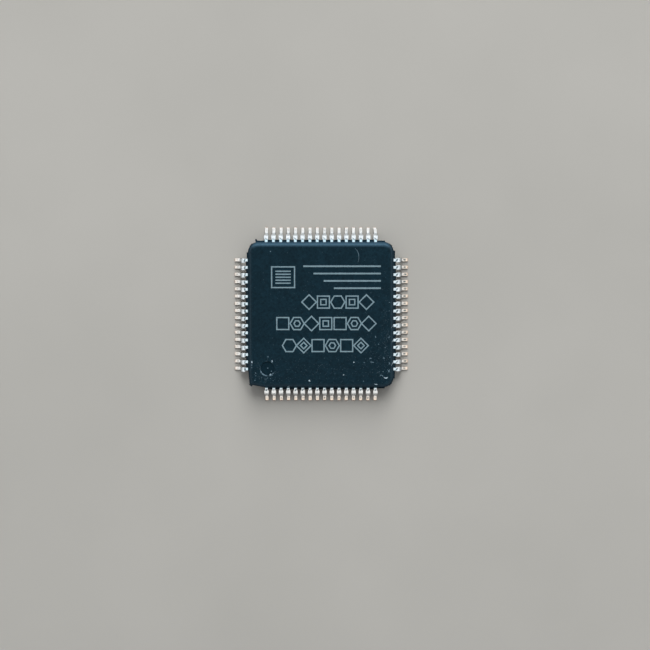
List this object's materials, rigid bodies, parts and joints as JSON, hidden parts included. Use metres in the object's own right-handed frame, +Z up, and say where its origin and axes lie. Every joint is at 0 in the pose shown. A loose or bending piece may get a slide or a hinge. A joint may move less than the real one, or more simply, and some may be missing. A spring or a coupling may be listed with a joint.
{
  "type": "integrated circuit",
  "caption": "Surface-mount integrated circuit: a flat square moulded body with gull-wing leads along every side, a dimple beside pin 1, and a wired die sealed inside.",
  "frame": {"origin": "centre of the package on the seating plane, which the flat feet of the leads share", "axes": "+Z up out of the marked face, +X to the right and +Y to the back with the pin 1 dimple at the front left"},
  "size_m": [0.012, 0.012, 0.0015],
  "materials": {
    "moulding": "fine matt, scuffed at the edges",
    "tin_plate": "matt tin plate on copper alloy",
    "copper": "rolled copper alloy",
    "adhesive": "silver-filled epoxy",
    "silicon": "polished silicon",
    "bond_wire": "drawn gold"
  },
  "bodies": {
    "root": {"package_body": "moulding", "front_leads": "tin_plate", "right_leads": "tin_plate", "back_leads": "tin_plate", "left_leads": "tin_plate", "die_pad": "copper", "die_attach": "adhesive", "die": "silicon", "front_wires": "bond_wire", "right_wires": "bond_wire", "back_wires": "bond_wire", "left_wires": "bond_wire"}
  },
  "joints": []
}
